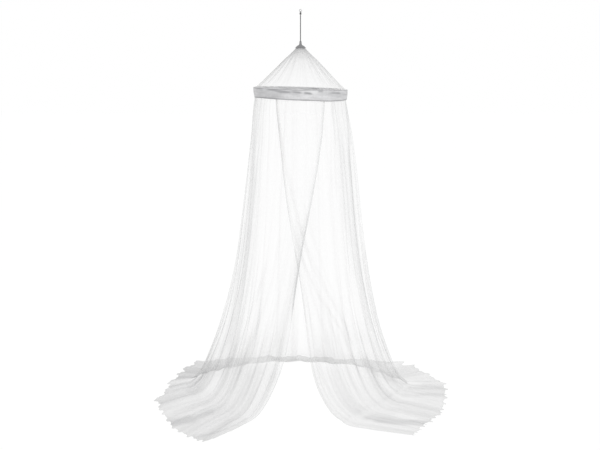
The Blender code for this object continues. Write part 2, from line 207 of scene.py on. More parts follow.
# Where the net lies in closer gathers, or in looser ones where the strength is below zero; along the closer
# gathers the net's colour also carries painted shade. Each line runs along the sheet through these places.
LINES = (
    # strength, width, (place, station) along the line
    (1.6, 0.50, ((0.00, 3.90), (0.17, 3.50), (0.40, 3.30), (0.75, 3.35), (0.92, 3.20))),
    (5.0, 0.22, ((0.00, 4.40), (0.08, 4.20), (0.17, 3.75), (0.27, 3.55), (0.48, 3.65),
                 (0.64, 3.80), (0.92, 3.60))),
    (2.0, 0.14, ((0.22, 3.30), (0.38, 3.22), (0.58, 3.19), (0.68, 3.28), (0.90, 3.10))),
    (2.0, 0.30, ((0.40, 3.50), (0.55, 3.50), (0.70, 3.40), (0.92, 3.20))),
    (2.0, 0.07, ((0.50, 2.45), (0.67, 2.36), (0.95, 2.20))),
    (2.5, 0.20, ((0.00, 5.70), (0.30, 6.15), (0.90, 6.40))),
    (2.0, 0.06, ((0.00, 3.60), (0.17, 3.20), (0.30, 3.05))),
    (2.0, 0.06, ((0.00, 3.20), (0.30, 2.80), (0.75, 2.60), (0.95, 2.60))),
    (1.5, 0.05, ((0.05, 2.10), (0.35, 1.95), (0.80, 2.00), (0.95, 2.00))),
    (1.5, 0.05, ((0.00, 1.30), (0.40, 1.10), (0.90, 1.50))),
    (4.0, 0.09, ((0.00, 0.08), (0.30, 0.12), (0.55, 0.14), (0.64, 0.30), (0.80, 0.33), (1.00, 0.30))),
    (3.5, 0.22, ((0.36, 0.16), (0.48, 0.18), (0.60, 0.16), (0.68, 0.30))),
    (2.5, 0.12, ((0.40, 0.28), (0.49, 0.39), (0.58, 0.40), (0.67, 0.69), (0.77, 0.80), (1.00, 1.00))),
    (0.35, 1.60, ((0.00, 1.00), (0.50, 0.60))),
    (0.35, 1.60, ((0.00, 17.00), (0.50, 17.40))),
    (1.7, 0.34, ((0.22, 16.60), (0.48, 16.95), (0.60, 16.95), (0.74, 16.75), (0.95, 16.60))),
    (4.0, 0.22, ((0.97, 9.25), (1.30, 9.25), (2.00, 9.30))),
    (-4.0, 0.50, ((0.97, 8.20), (1.30, 8.20))),
    (2.5, 0.12, ((0.42, 0.75), (0.55, 0.83), (0.63, 0.97), (0.71, 1.28), (0.79, 1.36), (0.96, 1.50))),
    (3.0, 0.10, ((0.42, 1.39), (0.58, 1.47), (0.68, 1.83), (0.76, 2.08), (1.00, 2.30))),
    (2.5, 0.10, ((0.50, 1.90), (0.80, 2.80), (0.86, 2.86))),
    (6.0, 0.09, ((0.00, 17.92), (0.11, 17.95), (0.38, 17.89), (0.45, 17.75), (0.52, 17.47), (0.60, 17.06),
                 (0.64, 16.69), (0.69, 16.20), (0.77, 15.92), (0.90, 15.70))),
    (4.5, 0.08, ((0.08, 17.92), (0.20, 17.80), (0.30, 17.64), (0.38, 17.47), (0.46, 17.36), (0.52, 17.08),
                 (0.58, 16.67), (0.64, 16.22), (0.72, 15.80))),
    (4.0, 0.08, ((0.25, 17.60), (0.43, 17.36), (0.50, 17.00), (0.60, 16.42), (0.65, 16.08),
                 (0.73, 15.75), (0.79, 15.56))),
    (2.5, 0.08, ((0.30, 17.20), (0.50, 16.60), (0.74, 15.60))),
    (3.0, 0.10, ((0.50, 17.20), (0.62, 16.90), (0.75, 16.40), (1.00, 16.10))),
    (4.5, 0.10, ((0.38, 17.65), (0.52, 17.58), (0.58, 17.42), (0.64, 17.28), (0.71, 16.94),
                 (0.76, 16.83), (1.00, 16.60))),
    (5.0, 0.10, ((0.42, 17.85), (0.58, 17.81), (0.64, 17.67), (0.75, 17.56), (1.00, 17.40))),
    (5.0, 0.12, ((0.48, 17.97), (0.80, 17.93), (1.00, 17.90))),
    (1.6, 0.35, ((0.55, 17.42), (0.65, 17.61), (0.72, 17.85))),
    (2.5, 0.06, ((0.00, 15.06), (0.11, 15.33), (0.21, 15.53), (0.30, 15.60))),
    (1.8, 0.16, ((0.28, 16.68), (0.40, 16.81), (0.48, 16.83), (0.56, 16.75), (0.63, 16.64), (0.74, 16.50))),
    (2.0, 0.12, ((0.40, 17.30), (0.50, 17.11), (0.58, 17.03), (0.67, 16.89), (0.78, 16.85))),
    (4.0, 0.09, ((0.00, 14.95), (0.08, 15.05), (0.17, 15.25), (0.30, 15.35))),
    (2.0, 0.12, ((0.10, 14.90), (0.27, 14.85), (0.40, 14.90))),
    (1.5, 0.07, ((0.55, 15.08), (0.67, 15.25), (0.76, 15.31))),
    (1.2, 0.45, ((0.10, 14.50), (0.27, 14.60), (0.50, 14.50), (0.68, 14.40))),
    (2.0, 0.18, ((0.16, 14.62), (0.27, 14.60), (0.45, 14.60), (0.58, 14.50))),
    (2.0, 0.16, ((0.45, 14.30), (0.60, 14.25), (0.76, 14.20))),
    (7.0, 0.10, ((0.00, 13.40), (0.04, 13.50), (0.08, 13.65), (0.17, 14.10), (0.39, 14.11),
                 (0.60, 14.08), (0.80, 13.90))),
    (3.0, 0.12, ((0.00, 13.20), (0.18, 12.05), (0.60, 12.15), (0.96, 12.25))),
    (2.6, 0.06, ((0.00, 7.10), (0.50, 7.30), (0.95, 7.60))),
    (2.2, 0.07, ((0.00, 8.20), (0.40, 8.00), (0.95, 8.30))),
    (2.0, 0.06, ((0.00, 9.40), (0.60, 9.20), (0.95, 9.30))),
    (1.4, 0.08, ((0.00, 10.30), (0.50, 10.60), (0.95, 10.40))),
    (2.2, 0.06, ((0.00, 11.20), (0.58, 11.30))),
    (-1.0, 0.20, ((0.62, 11.33), (0.92, 11.28))),
    (3.0, 0.18, ((1.00, 2.19), (1.48, 2.18), (1.67, 2.27), (2.00, 2.52))),
    (5.0, 0.14, ((1.35, 2.17), (1.67, 2.28), (1.79, 2.33), (2.00, 2.55))),
    (1.0, 0.30, ((0.94, 3.00), (1.39, 2.95), (1.73, 3.10), (2.00, 3.40))),
    (-4.0, 0.24, ((0.84, 0.94), (1.00, 0.94), (1.27, 0.85), (1.45, 0.80))),
    (2.5, 0.22, ((0.86, 1.53), (1.06, 1.61), (1.22, 1.64))),
    (1.5, 0.20, ((1.70, 1.95), (1.85, 2.00), (2.00, 2.10))),
    (4.0, 0.45, ((0.87, 3.45), (0.96, 3.85), (1.09, 3.86), (1.61, 3.72), (2.00, 3.70))),
    (5.0, 0.30, ((0.87, 3.20), (0.90, 3.50), (0.92, 3.85), (0.95, 4.25), (1.00, 4.60))),
    (4.5, 0.14, ((1.15, 0.62), (1.40, 0.48), (1.61, 0.45), (1.70, 0.80), (1.80, 1.14),
                 (1.91, 1.33), (2.00, 1.45))),
    (7.0, 0.20, ((1.68, 2.29), (2.00, 2.60))),
    (-4.0, 0.90, ((0.92, 6.10), (1.10, 6.10))),
    (2.0, 0.20, ((0.68, 3.42), (0.77, 3.47), (0.85, 3.72))),
    (-1.2, 0.20, ((0.68, 2.60), (0.82, 2.60))),
    (-3.5, 0.28, ((0.76, 0.20), (0.90, 0.18), (1.30, 0.12), (1.55, 0.05))),
    (2.0, 0.15, ((0.80, 0.62), (1.05, 0.60))),
    (2.0, 0.30, ((1.70, 0.25), (2.00, 0.75))),
    (3.5, 0.60, ((0.90, 4.00), (0.96, 4.10), (1.20, 4.20), (1.35, 4.20))),
    (6.5, 1.00, ((1.00, 5.70), (1.50, 5.70), (2.00, 5.50))),
    (-2.5, 1.10, ((1.00, 12.60), (2.00, 12.60))),
    (-1.5, 0.35, ((0.57, 0.75), (0.70, 0.65))),
    (2.4, 0.30, ((0.43, 4.05), (0.58, 3.80), (0.66, 3.50))),
    (3.0, 0.12, ((0.50, 0.06), (0.64, 0.06))),
    (1.0, 0.25, ((0.20, 14.20), (0.45, 14.42))),
    (1.0, 0.30, ((0.20, 11.85), (0.50, 11.64))),
    (1.4, 0.30, ((0.50, 12.90), (0.90, 12.90))),
    (2.0, 0.14, ((0.84, 16.89), (0.92, 16.92), (1.06, 16.86), (1.24, 16.94))),
    (7.0, 0.25, ((1.20, 16.98), (1.42, 16.94), (1.58, 16.90), (1.70, 16.78), (1.79, 16.45), (1.90, 16.10))),
    (8.0, 0.32, ((1.40, 17.08), (1.61, 17.04), (1.76, 16.95), (1.88, 16.75), (2.00, 16.50))),
    (4.0, 0.30, ((1.50, 13.00), (2.00, 13.00))),
    (-5.0, 0.90, ((0.90, 11.60), (1.15, 11.60))),
    (-4.0, 0.50, ((1.10, 10.90), (1.80, 10.95))),
    (-3.0, 0.40, ((0.86, 17.75), (1.10, 17.70), (1.60, 17.50), (2.00, 17.15))),
    (-2.5, 0.14, ((0.78, 17.95), (1.50, 17.95))),
    (1.2, 0.20, ((0.84, 16.11), (0.96, 15.97), (1.21, 16.14), (1.50, 16.10))),
    (2.5, 0.40, ((0.80, 17.53), (0.87, 17.36), (0.92, 17.11), (0.98, 16.86), (1.15, 16.72), (1.58, 16.72))),
    (-3.5, 0.24, ((0.80, 14.98), (1.33, 14.96), (2.00, 14.95))),
    (-2.5, 0.20, ((0.80, 15.64), (1.35, 15.62))),
    (-3.0, 0.12, ((1.40, 13.98), (1.70, 13.72), (2.00, 13.62))),
    (-3.0, 0.16, ((1.25, 14.80), (1.55, 14.50), (2.00, 14.15))),
    (3.0, 0.55, ((0.76, 17.15), (0.95, 16.95), (1.08, 16.95))),
    (5.0, 0.25, ((0.86, 15.20), (0.90, 14.95), (0.92, 14.75), (0.94, 14.28), (0.98, 13.80), (1.02, 13.50))),
    (-2.0, 0.30, ((1.50, 16.00), (2.00, 15.80))),
    (3.0, 0.14, ((1.18, 13.69), (1.48, 13.64), (1.70, 13.53), (2.00, 13.45))),
    (3.0, 0.16, ((1.48, 14.39), (1.61, 14.14), (1.97, 13.94))),
    (-2.5, 0.16, ((0.64, 15.02), (0.74, 15.17), (0.84, 15.28))),
    (-1.5, 0.15, ((0.74, 14.10), (0.88, 14.10))),
    (-1.5, 0.20, ((0.80, 12.10), (0.93, 12.10))),
    (1.5, 0.30, ((1.00, 11.90), (1.25, 12.00), (1.45, 12.60))),
    (-2.0, 0.80, ((1.75, 12.10), (2.00, 12.10))),
    (1.5, 0.20, ((1.20, 14.47), (1.64, 14.25), (2.00, 14.06))),
)
GATHER_RAISE = 0.0010  # how far a line of strength 1 stands out
HEM_TEETH = 0.020
HINGE_ROLL = 0.010  # where the net turns onto the floor
LINE_CLOSENESS = 0.030  # that a line of strength 1 adds
LEAST_SHARE = 0.45  # of its closeness that lines leave the net
# How the net below it draws the foot of the band up and in, and how far the whole strip stands up off the
# hoop.
BAND_FOOT = np.array((
    # bearing_deg, lift, draw_in, rise
    (-120, 0.000, 0.005, 0.0000),
    (-90, 0.003, 0.008, 0.0006),
    (-45, 0.004, 0.006, 0.0014),
    (0, 0.002, 0.003, 0.0022),
    (38, -0.003, 0.002, 0.0036),
    (65, 0.000, 0.002, 0.0036),
    (90, 0.005, 0.003, 0.0012),
    (150, 0.000, 0.003, 0.0000),
    (200, 0.002, 0.004, 0.0000),
))
COLUMNS_A_STATION = 36
HANGING_ROWS = 84
LYING_ROWS = 34
FLAT_WIDTH = 4.9  # of the curtain's net before it was gathered
CROWN_PLEATS = 22
CROWN_SHIFT_DEG = 3.5
CROWN_DEPTH = 0.005


# ---------------------------------------------------------------- shapes


def through(rows, at):
    """A smooth curve through rows that stand at 0, 1, 2 and so on, read at these places."""
    rows = np.asarray(rows, float)
    at = np.clip(np.asarray(at, float), 0, len(rows) - 1)
    left = np.minimum(at.astype(int), len(rows) - 2)
    part = (at - left)[:, None]
    padded = np.vstack([2 * rows[0] - rows[1], rows, 2 * rows[-1] - rows[-2]])
    a, b, c, d = (padded[left + k] for k in range(4))
    return 0.5 * (
        2 * b + (c - a) * part + (2 * a - 5 * b + 4 * c - d) * part**2 + (3 * b - a - 3 * c + d) * part**3
    )


def column(table, at, name_index):
    table = np.asarray(table, float)
    return np.interp(at, table[:, 0], table[:, name_index])


def ramp(value, low, high):
    share = np.clip((np.asarray(value, float) - low) / (high - low), 0, 1)
    return share * share * (3 - 2 * share)


def resampled(line, step):
    along = np.concatenate([[0], np.cumsum(np.linalg.norm(np.diff(line, axis=0), axis=1))])
    at = np.linspace(0, along[-1], int(along[-1] / step) + 2)
    return np.stack([np.interp(at, along, line[:, k]) for k in range(3)], axis=1), at


def softened(values, count):
    index = np.arange(len(values))
    half = np.minimum(np.minimum(index, len(values) - 1 - index), count)
    total = np.concatenate([[0], np.cumsum(values)])
    return (total[index + half + 1] - total[index - half]) / (2 * half + 1)


def lean(points, share):
    points = np.array(points, float)
    turn = math.radians(HOOP_LEAN_DEG) * share
    x, z = points[..., 0].copy(), points[..., 2] - HOOP_Z
    points[..., 0] = x * np.cos(turn) + z * np.sin(turn)
    points[..., 2] = HOOP_Z + z * np.cos(turn) - x * np.sin(turn)
    return points


def outward(grid):
    across = np.gradient(grid, axis=0)
    normals = np.cross(across, np.gradient(grid, axis=1))
    normals /= np.linalg.norm(normals, axis=2, keepdims=True)
    return normals


def drifted(station, drop):
    places = [place for span in DRIFT_STATIONS for place in span]
    columns = [k + 1 for k in range(len(DRIFT_STATIONS)) for _ in range(2)]
    left = max(k for k in range(len(places) - 1) if places[k] <= station)
    share = float(ramp(station, places[left], places[left + 1])) if places[left + 1] > places[left] else 0.0
    return column(DRIFT, drop, columns[left]) * (1 - share) + column(DRIFT, drop, columns[left + 1]) * share


def ridge_wave(stations, name_index):
    table = np.asarray(RIDGES, float)
    places = table[:, 0]
    left = np.clip(np.searchsorted(places, stations, side="right") - 1, 0, len(places) - 2)
    share = (stations - places[left]) / (places[left + 1] - places[left])
    blend = ramp(share, 0, 1)
    height = table[left, name_index] * (1 - blend) + table[left + 1, name_index] * blend
    inside = (stations >= places[0]) & (stations <= places[-1])
    share = np.where(inside, share, 0)
    return 0.5 * (1 + np.cos(2 * math.pi * share)) * height


def waves(at, seed, pitches):
    """A sum of waves with uneven phases along a line, from -1 to 1."""
    rng = np.random.default_rng(seed)
    total = np.zeros_like(np.asarray(at, float))
    for pitch in pitches:
        wander = rng.uniform(0, 2 * math.pi, 3)
        warp = 0.9 * np.sin(at / (pitch * 4.3) + wander[1]) + 0.5 * np.sin(at / (pitch * 9.1) + wander[2])
        total += np.sin(2 * math.pi * at / pitch + wander[0] + warp)
    return total / len(pitches)


def rib(station, extra):
    hoop_deg, foot_x, foot_y, hem_x, hem_y = through(STATIONS, [station])[0]
    last = len(STATIONS) - 1
    radius = SEAM_RADIUS - LAP_STEP * ramp(station, last - 5.0, last - 2.8)
    bearing = math.radians(hoop_deg)
    top = np.array([radius * math.sin(bearing), -radius * math.cos(bearing)])
    foot, hem = np.array([foot_x, foot_y]), np.array([hem_x, hem_y])
    hem = hem + (hem - foot) / np.linalg.norm(hem - foot) * extra
    floor_z = FLOOR_Z + NET_WALL / 2
    drop = np.linspace(0, 1, 40)
    drift = drifted(station, drop)
    heights = CURTAIN_TOP_Z + (floor_z - CURTAIN_TOP_Z) * drop
    hanging = np.column_stack([top + (foot - top) * drift[:, None], heights])
    share = np.linspace(0, 1, 12)[1:, None]
    lying = np.hstack([foot + (hem - foot) * share, np.full((11, 1), floor_z)])
    line, along = resampled(np.vstack([hanging, lying]), LINE_STEP)
    hanging_length = np.linalg.norm(np.diff(hanging, axis=0), axis=1).sum()
    share = ramp(min(station, last - station), 2.5, 6.5)
    sway = FLAP_SWAY_REACH + (SWAY_REACH - FLAP_SWAY_REACH) * share
    bend = FLAP_BEND_REACH + (BEND_REACH - FLAP_BEND_REACH) * share
    for axis, reach in ((0, sway), (1, sway), (2, bend)):
        line[:, axis] = softened(line[:, axis], round(reach / LINE_STEP))
    return line, along, hanging_length


def gathers(stations, places):
    total = np.zeros((len(stations), len(places)))
    for strength, width, route in LINES:
        at = softened(np.interp(places, [p for p, _ in route], [s for _, s in route]), 4)
        shown = ramp(places, route[0][0] - 0.05, route[0][0] + 0.03) * (
            1 - ramp(places, route[-1][0] - 0.06, route[-1][0] + 0.04) * (route[-1][0] < 1.9))
        total += strength * shown[None, :] * np.exp(-(((stations[:, None] - at[None, :]) / width) ** 2))
    return total


def add_mesh(name, grid, around=False):
    """A piece whose mesh is a grid of points, wound so that its faces look outwards."""
    columns, rows = grid.shape[:2]
    i = np.arange(columns if around else columns - 1)[:, None]
    j = np.arange(rows - 1)[None, :]
    k = (i + 1) % columns
    corners = np.broadcast_arrays(i * rows + j, i * rows + j + 1, k * rows + j + 1, k * rows + j)
    faces = np.stack(corners, axis=-1)
    mesh = bpy.data.meshes.new(name)
    mesh.from_pydata(grid.reshape(-1, 3).tolist(), [], faces.reshape(-1, 4).tolist())
    mesh.update()
    mesh.shade_smooth()
    obj = bpy.data.objects.new(name, mesh)
    bpy.context.scene.collection.objects.link(obj)
    return obj


def set_uv(obj, values):
    """values is a grid of (u, v), one for each of the mesh's points."""
    mesh = obj.data
    layer = mesh.uv_layers.new(name="cloth")
    corner = np.empty(len(mesh.loops), np.int64)
    mesh.loops.foreach_get("vertex_index", corner)
    layer.data.foreach_set("uv", values.reshape(-1, 2)[corner].astype(np.float32).ravel())


def set_number(obj, name, values):
    attribute = obj.data.attributes.new(name, "FLOAT", "POINT")
    attribute.data.foreach_set("value", values.astype(np.float32).ravel())


# ---------------------------------------------------------------- materials


class Nodes:
    """Short calls for building a node tree."""

    def __init__(self, name):
        self.material = bpy.data.materials.new(name)
        self.material.use_nodes = True
        self.tree = self.material.node_tree
        self.shader = self.tree.nodes["Principled BSDF"]

    def add(self, kind, **settings):
        node = self.tree.nodes.new(kind)
        for key, value in settings.items():
            if key.startswith("in_"):
                key = key[3:]
                key = int(key) if key.isdigit() else key.replace("_", " ").title()
                self.feed(node.inputs[key], value)
            else:
                setattr(node, key, value)
        return node

    def feed(self, socket, value):
        if isinstance(value, bpy.types.NodeSocket):
            self.tree.links.new(value, socket)
        else:
            socket.default_value = value

    def math(self, operation, first, second=0.0, clamp=False):
        node = self.add("ShaderNodeMath", operation=operation, use_clamp=clamp, in_0=first, in_1=second)
        return node.outputs[0]

    def number(self, name):
        return self.add("ShaderNodeAttribute", attribute_name=name).outputs["Fac"]

    def scaled_uv(self, u, v, turn=0.0):
        uv = self.add("ShaderNodeUVMap", uv_map="cloth").outputs[0]
        return self.add("ShaderNodeMapping", in_0=uv, in_2=(0, 0, turn), in_3=(u, v, 1)).outputs[0]

    def noise(self, vector, detail=2.0, roughness=0.5, scale=1.0):
        node = self.add("ShaderNodeTexNoise", in_0=vector, noise_dimensions="2D")
        node.inputs["Scale"].default_value = scale
        node.inputs["Detail"].default_value = detail
        node.inputs["Roughness"].default_value = roughness
        return node.outputs[0]

    def spread(self, value, from_low, from_high, to_low, to_high):
        settings = dict(in_0=value, in_1=from_low, in_2=from_high, in_3=to_low, in_4=to_high)
        return self.add("ShaderNodeMapRange", **settings).outputs[0]

    def mix(self, share, first, second):
        node = self.add("ShaderNodeMix", data_type="RGBA", in_0=share, in_6=(*first, 1), in_7=(*second, 1))
        return node.outputs[2]

    def bump(self, height, strength, distance):
        node = self.add("ShaderNodeBump")
        self.feed(node.inputs["Height"], height)
        node.inputs["Strength"].default_value = strength
        node.inputs["Distance"].default_value = distance
        self.tree.links.new(node.outputs[0], self.shader.inputs["Normal"])


def net_material(name, streaks, streak_gain, clouds, cloud_gain, slant_least):
    """Knitted net: closeness is the share of light that a layer stops face on, and slant is how much more it
    stops where it is seen slanting."""
    m = Nodes(name)
    fine = m.noise(m.scaled_uv(streaks, 0.45), detail=1.0, roughness=0.5)
    broad = m.noise(m.scaled_uv(clouds, 0.30), detail=1.0)
    peaks = m.math("POWER", m.spread(fine, 0.36, 0.72, 0.0, 1.0), 1.7)
    gain = m.math("MULTIPLY", peaks, m.spread(broad, 0.3, 0.7, 0.35 * streak_gain, 2.0 * streak_gain))
    gain = m.math("ADD", gain, m.spread(broad, 0.3, 0.7, -cloud_gain, cloud_gain))
    gain = m.math("MULTIPLY", gain, m.number("streak"))
    mesh = m.add("ShaderNodeTexVoronoi", feature="DISTANCE_TO_EDGE", voronoi_dimensions="2D")
    m.feed(mesh.inputs["Vector"], m.scaled_uv(620.0, 430.0))
    mesh.inputs["Randomness"].default_value = 0.25
    thread = m.spread(mesh.outputs["Distance"], 0.02, 0.30, 1.5, 0.62)
    close = m.math("MULTIPLY", m.number("closeness"), m.math("ADD", 0.72, gain))
    close = m.math("MULTIPLY", close, thread)
    close = m.math("MINIMUM", close, 0.94)
    facing = m.add("ShaderNodeLayerWeight")
    facing.inputs["Blend"].default_value = 0.5
    across = m.math("POWER", m.math("SUBTRACT", 1.0, facing.outputs["Facing"]), m.number("slant"))
    across = m.math("MAXIMUM", across, slant_least)
    clear = m.math("POWER", m.math("SUBTRACT", 1.0, close), m.math("DIVIDE", 1.0, across))
    m.feed(m.shader.inputs["Alpha"], m.math("SUBTRACT", 1.0, clear, clamp=True))
    # Painted shade: the shade attribute darkens the net's colour from light grey towards dark grey.
    shade = m.spread(m.number("shade"), 0.0, 1.0, 0.0, 1.0)
    m.feed(m.shader.inputs["Base Color"], m.mix(shade, (0.70, 0.70, 0.70), (0.42, 0.42, 0.425)))
    m.shader.inputs["Roughness"].default_value = 0.72
    m.shader.inputs["Specular IOR Level"].default_value = 0.25
    m.bump(fine, 0.5, 0.004)
    return m.material


def satin_material():
    m = Nodes("satin_strip")
    weave = m.add("ShaderNodeTexWave", wave_type="BANDS", bands_direction="DIAGONAL")
    m.feed(weave.inputs["Vector"], m.scaled_uv(900.0, 900.0))
    weave.inputs["Scale"].default_value = 0.6
    slub = m.noise(m.scaled_uv(60.0, 700.0), detail=2.0)
    cloud = m.noise(m.scaled_uv(9.0, 38.0), detail=3.0)
    tone = m.math("ADD", m.math("MULTIPLY", slub, 0.35), m.math("MULTIPLY", cloud, 0.65))
    patches = m.spread(tone, 0.35, 0.65, 0.0, 0.45)
    # Painted shade from the strip's shade attribute, added to the satin's own patches of tone.
    painted_shade = m.math("MULTIPLY", m.number("shade"), 0.75)
    dark = m.math("ADD", patches, painted_shade, clamp=True)
    m.feed(m.shader.inputs["Base Color"], m.mix(dark, (0.73, 0.73, 0.74), (0.33, 0.33, 0.34)))
    m.feed(m.shader.inputs["Roughness"], m.spread(cloud, 0.3, 0.7, 0.34, 0.5))
    m.shader.inputs["Sheen Weight"].default_value = 0.25
    m.shader.inputs["Anisotropic"].default_value = 0.4
    m.bump(m.math("ADD", m.math("MULTIPLY", weave.outputs["Fac"], 0.4), slub), 0.25, 0.0006)
    return m.material


def cloth_material(name, light, dark, pitch):
    m = Nodes(name)
    grain = m.noise(m.scaled_uv(pitch, pitch), detail=3.0, roughness=0.6)
    thread = m.add("ShaderNodeTexWave", wave_type="BANDS", bands_direction="DIAGONAL")
    m.feed(thread.inputs["Vector"], m.scaled_uv(pitch * 1.3, pitch * 1.3))
    share = m.math("ADD", m.math("MULTIPLY", grain, 0.7), m.math("MULTIPLY", thread.outputs["Fac"], 0.3))
    m.feed(m.shader.inputs["Base Color"], m.mix(m.spread(share, 0.3, 0.7, 0.0, 1.0), dark, light))
    m.shader.inputs["Roughness"].default_value = 0.7
    m.shader.inputs["Sheen Weight"].default_value = 0.2
    m.bump(share, 0.35, 0.0005)
    return m.material


def solid_material(name, light, dark, roughness, metallic, scale):
    """For the rod and the ring, whose marks follow their own place in space."""
    m = Nodes(name)
    place = m.add("ShaderNodeTexCoord").outputs["Object"]
    spots = m.add("ShaderNodeTexNoise", in_0=place)
    spots.inputs["Scale"].default_value = scale
    spots.inputs["Detail"].default_value = 4.0
    m.feed(m.shader.inputs["Base Color"], m.mix(m.spread(spots.outputs[0], 0.3, 0.7, 0.0, 1.0), light, dark))
    matt = m.spread(spots.outputs[0], 0.3, 0.7, roughness * 0.8, roughness * 1.25)
    m.feed(m.shader.inputs["Roughness"], matt)
    m.shader.inputs["Metallic"].default_value = metallic
    m.bump(spots.outputs[0], 0.15, 0.0002)
    return m.material


def finish(piece, material, slot_name, *nodes):
    piece.data.materials.clear()
    piece.data.materials.append(material)
    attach(piece, "root")
    if nodes:
        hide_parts(*nodes)
    return piece


# ---------------------------------------------------------------- the curtain


def curtain():
    last = len(STATIONS) - 1
    stations = np.linspace(0, last, last * COLUMNS_A_STATION + 1)
    places = np.concatenate([np.linspace(0, 1, HANGING_ROWS + 1)[:-1], np.linspace(1, 2, LYING_ROWS)])
    jag = np.clip(0.5 + 0.9 * waves(stations, 5, (0.37, 0.21)), 0, 1) ** 2
    reach = ridge_wave(stations, 2) + HEM_TEETH * jag
    base = np.empty((len(stations), len(places), 3))
    lengths = np.empty((len(stations), len(places)))
    for i, station in enumerate(stations):
        line, along, hanging = rib(station, reach[i])
        lengths[i] = np.where(places < 1, places * hanging, hanging + (places - 1) * (along[-1] - hanging))
        for axis in range(3):
            base[i, :, axis] = np.interp(lengths[i], along, line[:, axis])
    outer_flap = (1 - ramp(stations, 2.8, 5.4))[:, None]
    inner_flap = ramp(stations, last - 5.4, last - 2.8)[:, None]
    calm = 1 - LAP_CALM * (outer_flap + inner_flap) * (1 - ramp(places, 0.5, 0.8))
    spread = 1 - LYING_CALM * np.maximum(outer_flap, inner_flap) * ramp(places, 0.68, 0.86)
    depth = ridge_wave(stations, 1)[:, None] * column(FOLD_DEPTH, places, 1) * calm * spread
    lap = outer_flap * column(LAP, places, 1) - inner_flap * column(LAP, places, 2)
    pleat = 0.5 + 0.5 * waves(stations[:, None] + 0.10 * np.sin(places * 2.1)[None, :], 11, (0.43, 0.24))
    pleats = pleat**1.5 * column(CLOSENESS, places, 4) * 1.8 * calm
    lines = gathers(stations, places)
    pleats = pleats + GATHER_RAISE * np.clip(lines, 0, 3) * ramp(places, 0.02, 0.1)
    hinge = np.exp(-(((places - 1.02) / 0.035) ** 2))[None, :]
    swell = (0.5 + 0.5 * waves(stations, 23, (0.52, 0.29)))[:, None]
    roll = hinge * swell * HINGE_ROLL * ramp(stations, 3.0, 6.0)[:, None]
    grid = base + outward(base) * (depth + lap + pleats + roll)[:, :, None]
    grid = lean(grid, 1 - ramp(HOOP_Z - grid[..., 2], BAND_HEIGHT + SEAM_TUCK, 0.28))
    grid[..., 2] = np.maximum(grid[..., 2], FLOOR_Z + 0.0006)
    piece = add_mesh("curtain_net", grid)
    hem = np.linalg.norm(np.diff(base[:, -1, :2], axis=0), axis=1)
    across = np.concatenate([[0], np.cumsum(hem)])
    across *= FLAT_WIDTH / across[-1]
    flat = np.stack([np.broadcast_to(across[:, None], lengths.shape), lengths], axis=-1)
    set_uv(piece, flat)
    flap = np.maximum(outer_flap, inner_flap)
    back = (ramp(stations, 5.5, 7.5) * (1 - ramp(stations, 10.5, 12.5)))[:, None]
    from_edge = np.minimum(stations, last - stations)[:, None]
    later = places[None, :] - 0.07 * ramp(from_edge, 1.8, 4.5) * (1 - ramp(places, 0.9, 1.1))
    close = column(CLOSENESS, places, 1) * back + column(CLOSENESS, later, 3) * flap
    close = close + column(CLOSENESS, places, 2) * (1 - back - flap)
    close = np.clip(close + LINE_CLOSENESS * lines, np.maximum(0.02, LEAST_SHARE * close), 0.85)
    edge = np.minimum(across, across[-1] - across)[:, None]
    foot = lengths[:, -1:] - lengths
    free_edge = (1 - ramp(edge, 0.006, 0.016)) * (1 - 0.85 * ramp(places, 0.60, 0.72))
    hemmed = np.maximum(free_edge, 1 - ramp(foot, 0.006, 0.016))
    close = np.minimum(close * (1 + 2.2 * hemmed * (1 - ramp(places, 0.7, 1.0))) + 0.12 * hemmed, 0.9)
    set_number(piece, "closeness", close)
    # Painted shade on the net: darker where it turns onto the floor, in the valleys of its folds and along
    # its closer gathers.
    valley = 1 - np.clip(depth / (np.maximum(column(FOLD_DEPTH, places, 1), 0.004)), 0, 1)
    shade = 0.25 * hinge * ramp(stations, 2.0, 5.0)[:, None] + 0.15 * valley * ramp(places, 0.85, 1.1)
    shade = shade + 0.06 * np.clip(lines, 0, 5 + 5 * ramp(places, 0.9, 1.1))
    set_number(piece, "shade", np.clip(shade, 0, 1))
    wedge = np.maximum(1 - ramp(stations, 1.6, 2.8), ramp(stations, last - 2.8, last - 1.6))[:, None]
    wedge = wedge * (1 - ramp(places, 0.35, 0.60))
    set_number(piece, "streak", (1 - 0.5 * ramp(places, 0.8, 1.1)) * (1 - 0.75 * wedge))
    set_number(piece, "slant", np.broadcast_to(1 - 0.65 * ramp(places, 0.80, 1.05), grid.shape[:2]))
    return piece


# ---------------------------------------------------------------- the crown


def crown_drop(radius):
    """How far below its apex the cone of net lies: it draws in to the neck of the cap near the top."""
    near_top = KNEE_RADIUS * CROWN_FALL - (KNEE_RADIUS - radius) * KNEE_FALL
    return np.where(radius > KNEE_RADIUS, radius * CROWN_FALL, near_top)


